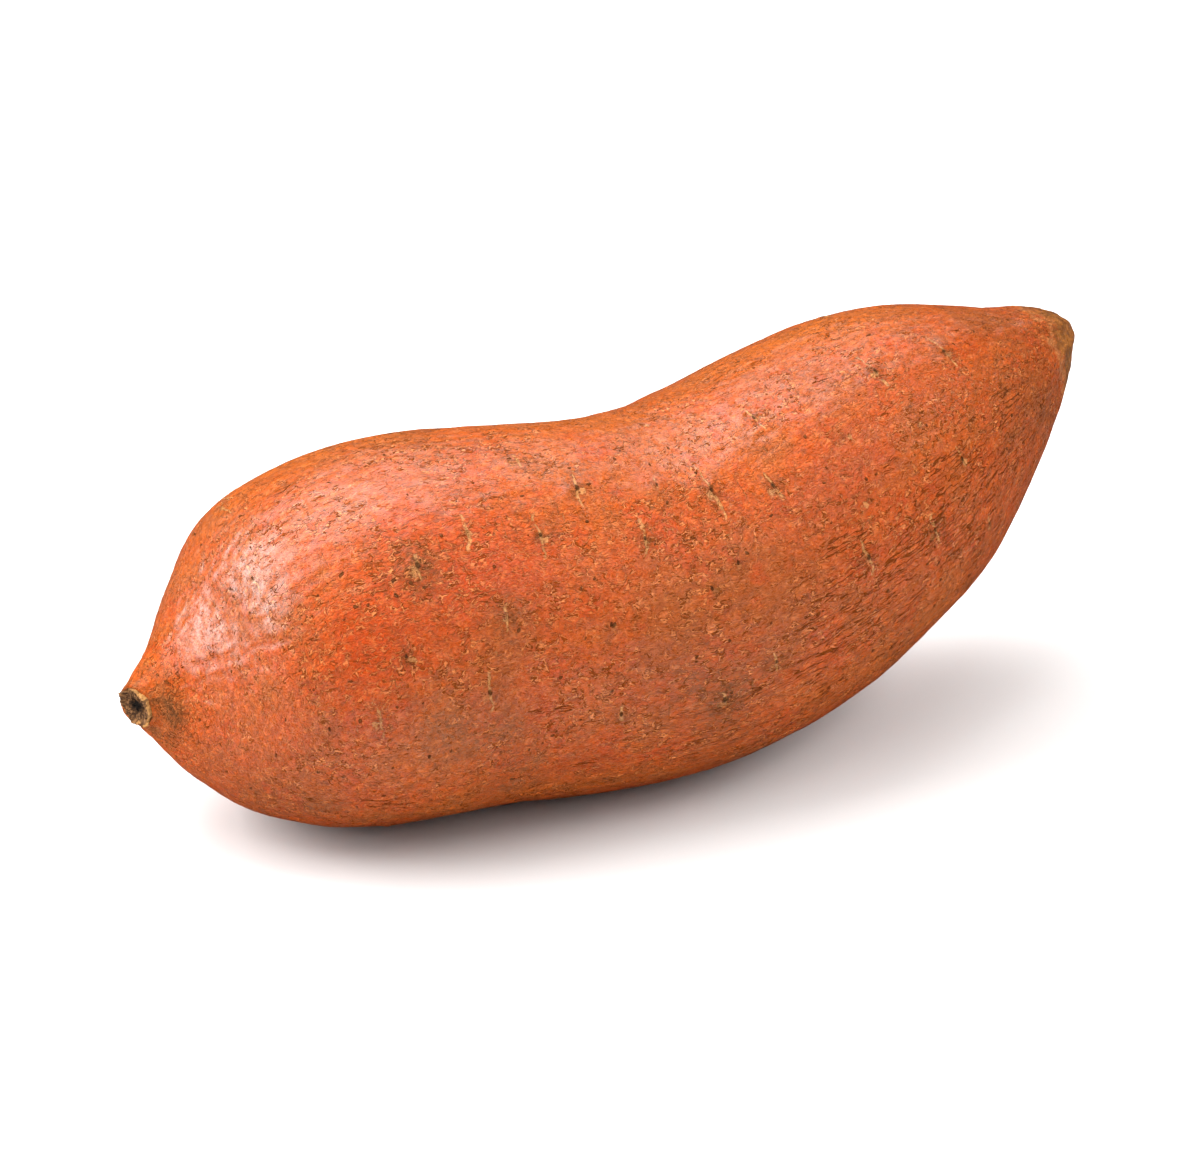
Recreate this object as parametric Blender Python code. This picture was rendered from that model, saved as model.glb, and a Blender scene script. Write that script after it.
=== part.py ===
"""Sweet potato: one whole storage root, lying on the small flat spot of its belly.

The root is a single solid. It is a loft of round rings along a curved centre line, from the
cut stem end at -X to the closed tail at +X, trimmed flat where the belly meets the surface.
Run it with: blender --background --python part.py

Units are metres, +Z is up, and the origin is on the surface, under the middle of the root's box.
"""

import math

import bmesh
import bpy
import numpy as np

MM = 0.001
NAME = "sweet_potato"

# Driving dimensions.
LENGTH = 170 * MM  # of the centre line along X, from the stem cut to the tail's tip
RINGS = 56  # steps along the root
SEGMENTS = 48  # points round each ring

# The root's stations, in mm: how far the centre line lies to the side (+Y), how high it lies
# above the surface, and the root's radius there. The stations are eased towards both ends: they
# divide a half circle over the length equally, which closes the ends round.
STATIONS = (
    # side, height, radius
    (0.0, 26.5, 3.3),  # stem cut
    (0.0, 26.5, 7.5),
    (0.0, 26.5, 22.5),
    (-1.5, 29.0, 30.0),  # fat stem-end lobe, just touching the surface
    (-5.0, 29.5, 30.0),
    (-9.0, 28.5, 29.5),  # waist, where the centre line starts to climb
    (-8.0, 34.5, 28.5),
    (-5.0, 42.0, 23.5),
    (-3.0, 48.0, 13.0),
    (0.0, 50.5, 4.5),
    (2.0, 48.5, 0.0),  # tail
)

# Broad swellings round the root: how many there are round a ring, their height as a share of
# the radius, where they start, and how far they twist from end to end (both in radians).
SWELLINGS = (
    (2, 0.022, 0.5, 1.2),
    (3, 0.014, 2.0, -1.4),
)

# The stem was cut at a slant: the cut face turns this far towards -Y.
STEM_CUT_SLANT = math.radians(20)
STEM_CUT_REACH = 0.045  # share of the length over which the slant fades out

SKIN_COLOUR = (0.62, 0.17, 0.055, 1.0)
SKIN_ROUGHNESS = 0.55
SHARP_FROM = math.radians(40)


def clear_scene():
    """Removes every object that the scene holds."""
    for thing in list(bpy.data.objects):
        bpy.data.objects.remove(thing, do_unlink=True)


def smooth_curve(values, where, level_ends):
    """The cubic spline through values at equal steps from 0 to 1, and its slope, at where.

    With level_ends its slope is zero at both ends; otherwise its curvature is.
    """
    count = len(values)
    step = 1.0 / (count - 1)
    system = np.eye(count)
    bend = np.zeros(count)
    for i in range(1, count - 1):
        system[i, i - 1 : i + 2] = (1.0, 4.0, 1.0)
        bend[i] = 6.0 * (values[i - 1] - 2.0 * values[i] + values[i + 1]) / step**2
    if level_ends:
        system[0, :2] = system[-1, :-3:-1] = (2.0, 1.0)
        bend[0] = 6.0 * (values[1] - values[0]) / step**2
        bend[-1] = 6.0 * (values[-2] - values[-1]) / step**2
    bend = np.linalg.solve(system, bend)
    left = np.clip((where / step).astype(int), 0, count - 2)
    right = left + 1
    b = where / step - left
    a = 1.0 - b
    value = a * values[left] + b * values[right]
    value += ((a**3 - a) * bend[left] + (b**3 - b) * bend[right]) * step**2 / 6.0
    slope = (values[right] - values[left]) / step
    slope += ((3 * b**2 - 1) * bend[right] - (3 * a**2 - 1) * bend[left]) * step / 6.0
    return value, slope


def centre_line(eased):
    """The centre of each ring, its radius, its direction, and the two directions that span it."""
    table = np.array(STATIONS) * MM
    side, side_slope = smooth_curve(table[:, 0], eased, level_ends=True)
    height, height_slope = smooth_curve(table[:, 1], eased, level_ends=True)
    radius, _ = smooth_curve(table[:, 2], eased, level_ends=False)
    along = -0.5 * LENGTH * np.cos(math.pi * eased)
    along_slope = 0.5 * math.pi * LENGTH * np.sin(math.pi * eased)
    centre = np.stack([along, side, height], axis=1)
    tangent = np.stack([along_slope, side_slope, height_slope], axis=1)
    # At both tips the easing stands still, so the direction just inside them is used.
    tangent[0], tangent[-1] = tangent[1], tangent[-2]
    tangent /= np.linalg.norm(tangent, axis=1, keepdims=True)
    across = np.cross(tangent, (0.0, 0.0, 1.0))
    across /= np.linalg.norm(across, axis=1, keepdims=True)
    upward = np.cross(across, tangent)
    return centre, radius, tangent, across, upward


def root_rings():
    """The points of every ring, from the stem cut on; the last ring is the tail's tip."""
    eased = np.linspace(0.0, 1.0, RINGS + 1)
    share = (1.0 - np.cos(math.pi * eased))[:, None] / 2.0
    turn = np.linspace(0.0, 2.0 * math.pi, SEGMENTS, endpoint=False)[None, :]
    centre, radius, tangent, across, upward = (part[:, None] for part in centre_line(eased))
    reach = radius * np.ones_like(turn)
    for count, height, start, twist in SWELLINGS:
        reach += radius * height * np.cos(count * (turn - start - twist * share))
    sideways = (reach * np.cos(turn))[..., None]
    rise = (reach * np.sin(turn))[..., None]
    fade = np.clip(1.0 - share / STEM_CUT_REACH, 0.0, 1.0)[..., None] ** 2
    slant = sideways * math.tan(STEM_CUT_SLANT) * fade
    return centre + sideways * across + rise * upward + slant * tangent


def add_ring(mesh, points):
    """Adds one closed loop of edges to the mesh, and returns its edges."""
    corners = [mesh.verts.new(point) for point in points]
    return [mesh.edges.new((corner, corners[i - 1])) for i, corner in enumerate(corners)]


def close_tail(mesh, ring, tip):
    """Closes the last ring with a fan of triangles that meet at the tip."""
    peak = mesh.verts.new(tip)
    for edge in ring:
        mesh.faces.new((*edge.verts, peak))


def loft_root(mesh):
    """Skins the rings from the stem cut to the tail, and closes both ends."""
    points = root_rings()
    rings = [add_ring(mesh, ring) for ring in points[:-1]]
    for nearer, farther in zip(rings, rings[1:]):
        bmesh.ops.bridge_loops(mesh, edges=nearer + farther)
    bmesh.ops.contextual_create(mesh, geom=rings[0])
    close_tail(mesh, rings[-1], points[-1].mean(axis=0))


def trim_belly(mesh):
    """Cuts the root off at the surface, and closes the cut with the flat spot it rests on."""
    everything = [*mesh.verts, *mesh.edges, *mesh.faces]
    cut = bmesh.ops.bisect_plane(
        mesh, geom=everything, plane_co=(0, 0, 0), plane_no=(0, 0, -1), clear_outer=True
    )
    rim = [piece for piece in cut["geom_cut"] if isinstance(piece, bmesh.types.BMEdge)]
    bmesh.ops.contextual_create(mesh, geom=rim)


def centre_on_origin(mesh):
    """Moves the root along the surface until the origin is under the middle of its box."""
    points = np.array([vertex.co for vertex in mesh.verts])
    middle = (points.min(axis=0) + points.max(axis=0)) / 2.0
    bmesh.ops.translate(mesh, verts=mesh.verts, vec=(-middle[0], -middle[1], 0.0))


def shade(data):
    """Shades the root smooth, and the two flat cuts flat."""
    data.shade_smooth()
    data.set_sharp_from_angle(angle=SHARP_FROM)
    for face in data.polygons:
        face.use_smooth = face.loop_total < 5


def skin_material():
    """The root's terracotta skin."""
    material = bpy.data.materials.new("skin")
    material.use_nodes = True
    shader = material.node_tree.nodes["Principled BSDF"]
    shader.inputs["Base Color"].default_value = SKIN_COLOUR
    shader.inputs["Roughness"].default_value = SKIN_ROUGHNESS
    shader.inputs["Metallic"].default_value = 0.0
    return material


def build_root():
    """Builds the whole root as one closed solid."""
    mesh = bmesh.new()
    loft_root(mesh)
    trim_belly(mesh)
    centre_on_origin(mesh)
    bmesh.ops.recalc_face_normals(mesh, faces=mesh.faces)
    data = bpy.data.meshes.new(NAME)
    mesh.to_mesh(data)
    mesh.free()
    data.materials.append(skin_material())
    shade(data)
    root = bpy.data.objects.new(NAME, data)
    bpy.context.scene.collection.objects.link(root)


clear_scene()
build_root()
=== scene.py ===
"""A whole raw sweet potato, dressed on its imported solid, lying on a plain studio floor.

The root's skin is one surface carried along the same curved centre line as the solid, with its
wrinkles, eyes, threads and dents in the mesh, and finer crinkles and colours in its finish.
The scar of the cut stem is a piece of its own. Lengths named _mm are in millimetres, the rest
in metres; +X runs from the stem cut to the tail, and +Z is up.
"""

import logging
import math
from dataclasses import dataclass, field
from enum import Enum
from functools import reduce

import bpy
import numpy as np
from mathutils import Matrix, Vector
from numpy.typing import NDArray


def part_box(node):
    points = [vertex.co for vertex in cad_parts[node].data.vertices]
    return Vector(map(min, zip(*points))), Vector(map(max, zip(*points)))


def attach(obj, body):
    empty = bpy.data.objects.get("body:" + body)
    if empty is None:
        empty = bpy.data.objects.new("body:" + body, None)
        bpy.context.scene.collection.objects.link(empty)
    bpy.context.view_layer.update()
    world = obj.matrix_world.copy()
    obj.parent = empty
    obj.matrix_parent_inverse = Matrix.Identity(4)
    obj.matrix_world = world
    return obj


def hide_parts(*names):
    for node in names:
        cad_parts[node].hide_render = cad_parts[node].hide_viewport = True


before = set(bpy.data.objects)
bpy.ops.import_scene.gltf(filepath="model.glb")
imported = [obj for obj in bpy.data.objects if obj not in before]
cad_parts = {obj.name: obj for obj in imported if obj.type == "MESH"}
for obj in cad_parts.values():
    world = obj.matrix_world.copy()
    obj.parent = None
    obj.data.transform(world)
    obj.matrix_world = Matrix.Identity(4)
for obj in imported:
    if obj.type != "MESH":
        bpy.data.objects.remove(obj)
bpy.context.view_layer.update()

Array = NDArray[np.float64]
Faces = NDArray[np.int64]
Colour = tuple[float, float, float]
Socket = bpy.types.NodeSocket
Sockets = bpy.types.bpy_prop_collection

MM = 0.001
NODE = "sweet_potato"
BODY = "root"

# Kinds of group socket.
NUMBER = "NodeSocketFloat"
VECTOR = "NodeSocketVector"

# The numbers that mix a corner's place into a random slope, and the bits that each part takes.
CORNER_FACTORS = (0x9E3779B97F4A7C15, 0xC2B2AE3D27D4EB4F, 0x165667B19E3779F9)
SEED_FACTOR = 0x27D4EB2F
STIRS = ((30, 0xBF58476D1CE4E5B9), (27, 0x94D049BB133111EB))
LAST_SHIFT = 31
PART_BITS = 21

# How high the features of the fine relief stand, as shares of the relief's height.
WORM_RISE = 0.34
CRINKLE_RISE = {"Lip": 0.30, "Gap": -0.14, "Fine": 0.26, "Crack": -0.36, "Pit": -0.30}
EYE_RISE = {"Hole": -0.30, "Cork": 0.16, "Thread": 0.14}

# How far apart the pits lie, and the widest one's radius as a share of that.
PIT_APART_MM = 2.1
PIT_REACH = 0.15

log = logging.getLogger("sweet_potato")


# ---------------------------------------------------------------- numbers and noise


def smooth_step(low: float | Array, high: float | Array, value: Array) -> Array:
    """Eases from 0 at low to 1 at high: 3t^2 - 2t^3, t being how far value is from low to high.

    Args:
        low: Where the rise starts.
        high: Where it ends; lower than low for a fall.
        value: The numbers to ease.

    Returns:
        The eased numbers, from 0 to 1.
    """
    t = np.clip((value - low) / (high - low), 0.0, 1.0)
    return t * t * (3.0 - 2.0 * t)


def bell(value: Array, width: float | Array) -> Array:
    """A round hump, exp(-(value / width)^2): 1 at zero, falling off within about one width."""
    return np.exp(-((value / width) ** 2))


def corner_slopes(cell: NDArray[np.int64], seed: int) -> Array:
    """A fixed random slope for each whole-number corner of space.

    The corner's three numbers are mixed into one 64-bit number by multiplying, shifting and
    combining, and three runs of 21 bits of it give the slope's parts, each from -1 to 1.

    Args:
        cell: Corners, as an array of N by 3.
        seed: Picks one of many patterns.

    Returns:
        Slopes, as an array of N by 3.
    """
    words = cell.astype(np.uint64) * np.array(CORNER_FACTORS, np.uint64)
    mixed = np.bitwise_xor.reduce(words, axis=1) + np.uint64(seed * SEED_FACTOR)
    for shift, factor in STIRS:
        mixed = (mixed ^ (mixed >> np.uint64(shift))) * np.uint64(factor)
    mixed ^= mixed >> np.uint64(LAST_SHIFT)
    shifts = np.arange(3, dtype=np.uint64) * np.uint64(PART_BITS)
    parts = (mixed[:, None] >> shifts) & np.uint64(2**PART_BITS - 1)
    return parts.astype(np.float64) / (2 ** (PART_BITS - 1) - 1) - 1.0


def soft_noise(places: Array, seed: int) -> Array:
    """Smooth random hills about one unit wide.

    Each corner of a unit grid has a random slope. At a place, the heights that the eight
    corners' slopes give there are blended by 6t^5 - 15t^4 + 10t^3 along each axis.

    Args:
        places: Where to read it, as an array of any shape ending in 3.
        seed: Picks one of many patterns.

    Returns:
        Heights, mostly within -1 to 1, in the places' shape without its last axis.
    """
    flat = places.reshape(-1, 3)
    low = np.floor(flat)
    part = flat - low
    cell = low.astype(np.int64)
    ease = part**3 * (part * (part * 6.0 - 15.0) + 10.0)
    total = np.zeros(len(flat))
    for step in np.ndindex(2, 2, 2):
        corner = np.array(step)
        weight = np.where(corner, ease, 1.0 - ease).prod(axis=1)
        slope = corner_slopes(cell + corner, seed)
        total += weight * ((part - corner) * slope).sum(axis=1)
    return total.reshape(places.shape[:-1]) * 1.4


def hills(places: Array, size_mm: float, seed: int, layers: int = 1) -> Array:
    """Layered noise: each layer is half as wide and half as high as the one before it.

    Args:
        places: Where to read it, in mm, as an array ending in 3.
        size_mm: Width of the broadest hills.
        seed: Picks one of many patterns.
        layers: How many layers are added up.

    Returns:
        Heights, mostly within -1 to 1.
    """
    total = np.zeros(places.shape[:-1])
    for layer in range(layers):
        scale = 2.0**layer
        total += soft_noise(places * (scale / size_mm), seed + layer) / scale
    return total


def level_spline(values: Array, where: Array, level_ends: bool) -> tuple[Array, Array]:
    """The cubic spline through values at equal steps from 0 to 1.

    Between two values it is a*v0 + b*v1 + ((a^3 - a)*m0 + (b^3 - b)*m1)*h^2/6, b being the
    share of the step walked, a = 1 - b, and m the bends that keep its slope unbroken.

    Args:
        values: The numbers that the curve passes through.
        where: Where to read it, from 0 to 1.
        level_ends: True for zero slope at both ends, False for zero bend there.

    Returns:
        The curve's values and its slopes.
    """
    count = len(values)
    step = 1.0 / (count - 1)
    system = np.eye(count)
    bend = np.zeros(count)
    inner = np.arange(1, count - 1)
    system[inner, inner - 1] = system[inner, inner + 1] = 1.0
    system[inner, inner] = 4.0
    bend[inner] = 6.0 * (values[:-2] - 2.0 * values[1:-1] + values[2:]) / step**2
    if level_ends:
        system[0, :2] = system[-1, :-3:-1] = (2.0, 1.0)
        bend[0] = 6.0 * (values[1] - values[0]) / step**2
        bend[-1] = 6.0 * (values[-2] - values[-1]) / step**2
    bend = np.linalg.solve(system, bend)
    left = np.clip((where / step).astype(int), 0, count - 2)
    b = where / step - left
    a = 1.0 - b
    low, high = values[left], values[left + 1]
    value = a * low + b * high
    value += ((a**3 - a) * bend[left] + (b**3 - b) * bend[left + 1]) * step**2 / 6.0
    slope = (high - low) / step
    slope += ((3 * b**2 - 1) * bend[left + 1] - (3 * a**2 - 1) * bend[left]) * step / 6.0
    return value, slope


# ---------------------------------------------------------------- the root's form


@dataclass(frozen=True)
class Swelling:
    """A broad swelling that winds along the root.

    Attributes:
        count: How many there are round the root.
        share: Their height, as a share of the radius.
        start: The angle where they start.
        twist: The angle that they turn from end to end.
    """

    count: int
    share: float
    start: float
    twist: float


@dataclass(frozen=True)
class RingSpan:
    """Rings along the root, one row per ring.

    Attributes:
        share: Share of the length.
        radius: Radii, in mm.
        centre: Centres, in mm.
        tangent: The way along the root.
        across: The way to its side.
        upward: The way up from it.
    """

    share: Array
    radius: Array
    centre: Array
    tangent: Array
    across: Array
    upward: Array

    def walked(self) -> Array:
        """Distance over the skin from the first ring to each, summed from sqrt(dx^2 + dr^2)."""
        step = np.hypot(np.linalg.norm(np.diff(self.centre, axis=0), axis=1), np.diff(self.radius))
        return np.concatenate([[0.0], np.cumsum(step)])


@dataclass(frozen=True)
class RootForm:
    """The smooth form under the skin, the same one as the solid's.

    Attributes:
        length_mm: Length of the centre line along X.
        side_mm: How far the centre line lies to +Y, at stations eased towards both ends.
        height_mm: How high it lies above the surface, at the same stations.
        radius_mm: The root's radius there.
        swellings: Broad swellings round the root.
        cut_slant: Angle that the stem's cut face turns towards -Y.
        cut_reach: Share of the length over which that slant fades out.
        box_grid: Rings and points round each at which the form's box is measured.
    """

    length_mm: float = 170.0
    side_mm: tuple[float, ...] = (0, 0, 0, -1.5, -5, -9, -8, -5, -3, 0, 2)
    height_mm: tuple[float, ...] = (26.5, 26.5, 26.5, 29, 29.5, 28.5, 34.5, 42, 48, 50.5, 48.5)
    radius_mm: tuple[float, ...] = (3.3, 7.5, 22.5, 30, 30, 29.5, 28.5, 23.5, 13, 4.5, 0)
    swellings: tuple[Swelling, ...] = (
        Swelling(2, 0.022, 0.5, 1.2),
        Swelling(3, 0.014, 2.0, -1.4),
    )
    cut_slant: float = math.radians(20)
    cut_reach: float = 0.045
    box_grid: tuple[int, int] = (241, 360)

    def rings(self, eased: Array) -> RingSpan:
        """Rings at the given places along the root.

        X is -cos(pi*eased) times half the length; the side and height are splines with level
        ends, and the radius is one with free ends. Each ring stands square to the centre line.

        Args:
            eased: Places from 0, the stem cut, to 1, the tail's tip.

        Returns:
            The rings, in mm.
        """
        # At both tips the easing stands still, so the direction just inside them is used.
        safe = np.clip(eased, 1e-3, 1.0 - 1e-3)
        lines = [np.array(line, float) for line in (self.side_mm, self.height_mm)]
        side, height = (level_spline(line, eased, True)[0] for line in lines)
        side_slope, height_slope = (level_spline(line, safe, True)[1] for line in lines)
        radius, _ = level_spline(np.array(self.radius_mm, float), eased, False)
        x = -0.5 * self.length_mm * np.cos(math.pi * eased)
        x_slope = 0.5 * math.pi * self.length_mm * np.sin(math.pi * safe)
        tangent = np.stack([x_slope, side_slope, height_slope], axis=1)
        tangent /= np.linalg.norm(tangent, axis=1, keepdims=True)
        across = np.cross(tangent, (0.0, 0.0, 1.0))
        across /= np.linalg.norm(across, axis=1, keepdims=True)
        share = (1.0 - np.cos(math.pi * eased)) / 2.0
        centre = np.stack([x, side, height], axis=1)
        return RingSpan(share, radius, centre, tangent, across, np.cross(across, tangent))

    def surface(self, rings: RingSpan, turn: Array) -> Array:
        """Points of the smooth form.

        Each point is centre + reach*(cos(turn)*across + sin(turn)*upward), where reach is the
        radius times 1 plus the swellings' cosines. Near the stem it also leans along the root
        by reach*cos(turn)*tan(slant), which fades out, so that the cut face is slanted.

        Args:
            rings: The rings, one per row.
            turn: Angles round the root, one per column, from the -Y side upwards.

        Returns:
            Points in mm, rows by columns by 3, before they are put in place.
        """
        share, radius = rings.share[:, None], rings.radius[:, None]
        swell = np.ones((len(share), len(turn)))
        for wave in self.swellings:
            angle = wave.count * (turn[None] - wave.start - wave.twist * share)
            swell += wave.share * np.cos(angle)
        reach = radius * swell
        sideways = (reach * np.cos(turn))[..., None]
        rise = (reach * np.sin(turn))[..., None]
        fade = np.clip(1.0 - share / self.cut_reach, 0.0, 1.0)[..., None] ** 2
        lean = sideways * math.tan(self.cut_slant) * fade
        points = rings.centre[:, None] + sideways * rings.across[:, None]
        return points + rise * rings.upward[:, None] + lean * rings.tangent[:, None]

    def shift(self) -> Array:
        """Finds the move along the surface that puts the form's box on the solid's box.

        Returns:
            The move, in mm.
        """
        rings = self.rings(np.linspace(0.0, 1.0, self.box_grid[0]))
        turn = np.linspace(0.0, 2.0 * math.pi, self.box_grid[1], endpoint=False)
        points = self.surface(rings, turn).reshape(-1, 3)
        low, high = (np.array(corner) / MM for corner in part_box(NODE))
        move = (low + high - points.min(axis=0) - points.max(axis=0)) / 2.0
        return move * (1.0, 1.0, 0.0)

    def eased_at(self, along_mm: float | Array) -> float | Array:
        """The eased place that lies this far along the root from the stem cut."""
        return np.arccos(1.0 - 2.0 * along_mm / self.length_mm) / math.pi


# ---------------------------------------------------------------- eyes and marks


class Mark(Enum):
    """What an eye in the skin has become, as (hole, pale cork, stain) strengths."""

    PIT = (1.0, 0.35, 0.5)
    BUD = (1.0, 1.0, 0.8)
    CORK = (0.35, 1.0, 0.4)
    STAIN = (0.3, 0.0, 1.0)
    SLIT = (1.0, 0.5, 0.7)


@dataclass(frozen=True)
class Eye:
    """A scar where a side root grew out.

    Attributes:
        along_mm: How far it is from the stem cut, along the root.
        turn_deg: How far round the root it is, from the -Y side upwards.
        size_mm: Width of its hole.
        thread_mm: Length of the pale ridge that runs through it round the root.
        halo_mm: Reach of the brown stain about it.
        mark: What it has become.
    """

    along_mm: float
    turn_deg: float
    size_mm: float = 1.0
    thread_mm: float = 0.0
    halo_mm: float = 2.0
    mark: Mark = Mark.PIT


class Tone(Enum):
    """What a patch of skin turns to, as its place among the tones."""

    DUST = 0
    RED = 1
    AMBER = 2
    CRACKED = 3


@dataclass(frozen=True)
class Patch:
    """A broad soft patch of another tone.

    Attributes:
        tone: What it turns to.
        along_mm: How far its middle is from the stem cut, along the root.
        turn_deg: How far round the root its middle is, from the -Y side upwards.
        long_mm: Its reach along the root.
        wide_mm: Its reach round the root.
        strength: How strong it is in its middle.
    """

    tone: Tone
    along_mm: float
    turn_deg: float
    long_mm: float
    wide_mm: float
    strength: float


@dataclass
class EyeField:
    """All eyes of the root.

    Attributes:
        placed: Those placed one by one.
        scattered: How many more there are on the far side and underneath.
        ranges: Their least and greatest along_mm, turn_deg, size_mm, thread_mm and halo_mm. A
            thread that comes out below 0 is none.
        seed: Picks one of many scatterings.
    """

    placed: tuple[Eye, ...] = (
        Eye(2.8, 10, 0.9, 0.0, 3.4, Mark.STAIN),
        Eye(15, 71, 0.8),
        Eye(19, 66, 0.9, 6.0, 1.6, Mark.SLIT),
        Eye(41, 47, 1.6, 5.0, 4.5, Mark.BUD),
        Eye(49, 54, 1.1, 7.0, 1.8, Mark.CORK),
        Eye(59, 50, 1.3, 8.0, 2.6, Mark.BUD),
        Eye(59, 76, 1.0, 3.0, 2.6),
        Eye(66, 64, 1.3, 7.0, 2.6, Mark.BUD),
        Eye(52, 28, 1.0, 5.0, 3.6, Mark.CORK),
        Eye(48, 7, 1.5, 7.0, 2.2),
        Eye(36, 23, 1.2, 0.0, 2.4, Mark.BUD),
        Eye(30, 7, 1.4, 7.0, 3.4, Mark.CORK),
        Eye(68, 22, 1.0),
        Eye(75, 46, 1.1, 7.0, 2.4, Mark.BUD),
        Eye(80, 62, 0.9, 3.0, 1.8),
        Eye(86, 89, 1.0, 0.0, 2.0, Mark.CORK),
        Eye(90, 56, 1.4, 11.0, 2.8, Mark.BUD),
        Eye(89, 33, 0.9),
        Eye(84, 28, 0.9),
        Eye(100, 50, 1.3, 5.0, 2.4, Mark.BUD),
        Eye(105, 72, 1.0, 6.0, 2.2, Mark.SLIT),
        Eye(108, 16, 1.3, 7.0, 3.0, Mark.SLIT),
        Eye(112, 32, 1.1, 0.0, 1.6, Mark.CORK),
        Eye(114, 52, 0.8, 0.0, 1.0, Mark.CORK),
        Eye(126, 66, 1.2, 9.0, 2.2, Mark.BUD),
        Eye(126, 43, 0.8, 0.0, 1.2, Mark.CORK),
        Eye(130, 23, 1.2, 5.0, 2.4, Mark.BUD),
        Eye(120, 9, 1.2, 6.0, 2.4, Mark.SLIT),
        Eye(139, 61, 1.2, 7.0, 2.6, Mark.SLIT),
        Eye(131, -9, 1.1, 3.0, 2.0),
        Eye(84, -9, 1.6, 3.0, 4.0, Mark.SLIT),
        Eye(14, -5, 0.9),
        Eye(22, 7, 0.9, 0.0, 2.6),
        Eye(37, -9, 1.0),
        Eye(70, -7, 1.0, 3.0, 2.4),
        Eye(91, -2, 1.1, 4.0, 2.4),
    )
    scattered: int = 34
    ranges: tuple[tuple[float, float], ...] = (
        (12.0, 158.0),
        (100.0, 325.0),
        (0.8, 1.5),
        (-4.0, 9.0),
        (1.5, 3.6),
    )
    seed: int = 11

    def all(self) -> tuple[Eye, ...]:
        """Scatters the rest of the eyes.

        Returns:
            The placed eyes, then the scattered ones.
        """
        draw = np.random.default_rng(self.seed)
        drawn = [draw.uniform(low, high, self.scattered) for low, high in self.ranges]
        kinds = draw.integers(0, len(Mark) - 1, self.scattered)
        marks = list(Mark)
        rows = zip(*drawn, kinds)
        extra = (Eye(*(max(float(x), 0.0) for x in row), marks[kind]) for *row, kind in rows)
        return (*self.placed, *extra)


# Each row is (along_mm, turn_deg, long_mm, wide_mm, strength).
PATCH_ROWS: dict[Tone, tuple[tuple[float, ...], ...]] = {
    Tone.DUST: (
        (40, 3, 7, 7, 0.55), (47, -9, 9, 6, 0.6), (55, -22, 6, 4, 0.5), (52, 28, 5, 5, 0.5),
        (41, 45, 5, 6, 0.55), (53, -33, 6, 3, 0.7), (21, -31, 5, 3, 0.6), (66, 70, 6, 4, 0.4),
        (80, 0, 5, 5, 0.5), (84, -11, 5, 8, 0.8), (110, -22, 12, 8, 0.35), (146, 25, 12, 8, 0.35),
        (2.6, 12, 2.5, 3, 1.0), (3, -35, 4, 4, 0.5), (30, 200, 12, 12, 0.6),
        (95, 165, 14, 10, 0.5), (130, 215, 12, 10, 0.6), (62, 250, 14, 12, 0.7),
        (118, 130, 9, 7, 0.4),
    ),
    Tone.RED: (
        (46, 44, 14, 12, 0.75), (31, 26, 12, 10, 0.8), (60, 40, 10, 10, 0.35),
        (112, 40, 14, 12, 0.35), (75, 185, 20, 16, 0.6), (45, 130, 16, 10, 0.3),
    ),
    Tone.AMBER: (
        (36, 112, 26, 9, 0.8), (75, 100, 26, 8, 0.7), (125, 105, 30, 9, 0.8),
        # The two amber patches along the underside, at turn -40 and -30, are painted bounce light
        # from the floor.
        (60, -40, 30, 5, 0.5), (110, -30, 20, 6, 0.4),
    ),
    Tone.CRACKED: (
        (106, 2, 15, 17, 1.0), (130, 8, 17, 15, 1.0), (148, 10, 12, 14, 0.9),
        (84, -20, 16, 10, 0.5), (30, -30, 18, 7, 0.4), (3, -30, 5, 6, 1.0), (5, 60, 4, 4, 0.9),
        (120, 200, 30, 20, 0.7), (50, 240, 25, 14, 0.6),
    ),
}
PATCHES = tuple(Patch(tone, *row) for tone, rows in PATCH_ROWS.items() for row in rows)


# ---------------------------------------------------------------- meshes


def linked(name: str, data: bpy.types.ID) -> bpy.types.Object:
    """Makes an object and links it to the scene.

    Args:
        name: The object's name.
        data: Its mesh, lamp or camera.

    Returns:
        The object.
    """
    thing = bpy.data.objects.new(name, data)
    bpy.context.scene.collection.objects.link(thing)
    return thing


def turn_apart(turn: Array, other: float | Array) -> Array:
    """The turn from one angle to another, at most half a turn either way."""
    return (turn - other + math.pi) % (2.0 * math.pi) - math.pi


def shell_faces(rows: int, columns: int) -> tuple[Faces, Faces, Faces]:
    """Faces of a closed surface of rings, whose two poles are numbered after all rings.

    Args:
        rows: How many rings there are.
        columns: How many vertices there are round each.

    Returns:
        The four-sided faces between the rings, the first pole's fan and the last pole's fan.
    """
    now = np.arange(columns)
    after = (now + 1) % columns
    low = columns * np.arange(rows - 1)[:, None]
    high = low + columns
    quads = np.stack([low + now, low + after, high + after, high + now], axis=-1)
    pole, last = np.full(columns, rows * columns), columns * (rows - 1)
    first_fan = np.stack([pole, after, now], axis=-1)
    last_fan = np.stack([pole + 1, last + now, last + after], axis=-1)
    return quads.reshape(-1, 4), first_fan, last_fan


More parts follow.
